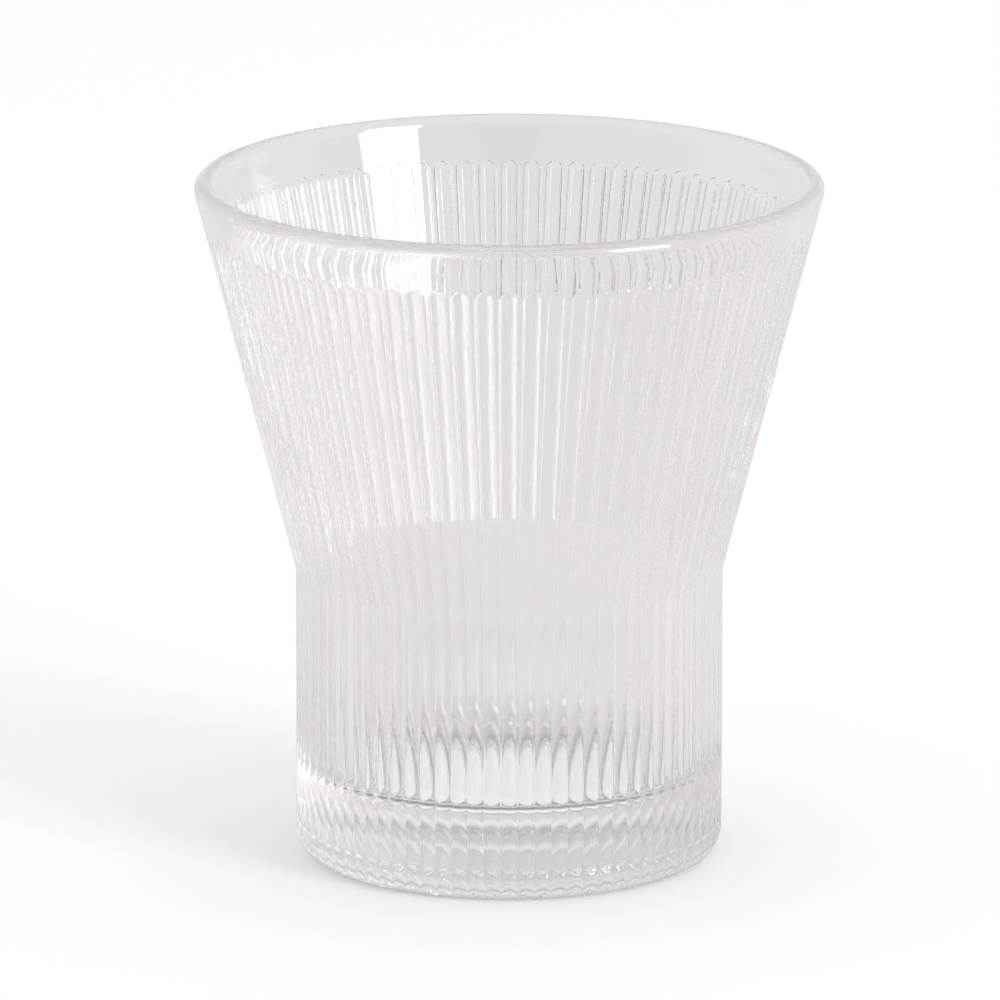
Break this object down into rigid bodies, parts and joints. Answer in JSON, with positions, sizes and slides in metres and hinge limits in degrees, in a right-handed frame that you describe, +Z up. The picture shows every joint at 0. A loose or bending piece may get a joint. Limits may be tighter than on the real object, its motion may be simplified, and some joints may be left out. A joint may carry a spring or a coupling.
{
  "type": "tea glass",
  "caption": "Ribbed clear tea glass: a flared bowl with a rounded plain lip over a straight lower body and a thick solid base, pressed in one piece",
  "frame": {"origin": "centre of the circle on which the glass stands: the middle of the bearing ring's flat face", "axes": "+Z runs up the axis of the glass to its mouth; the glass is the same all round, with a rib centred on -Y, which faces the viewer, and on +X"},
  "size_m": [0.086, 0.086, 0.0946],
  "materials": {
    "glass": "clear pressed glass, fire-polished smooth"
  },
  "bodies": {
    "root": {"tumbler": "glass"}
  },
  "joints": []
}
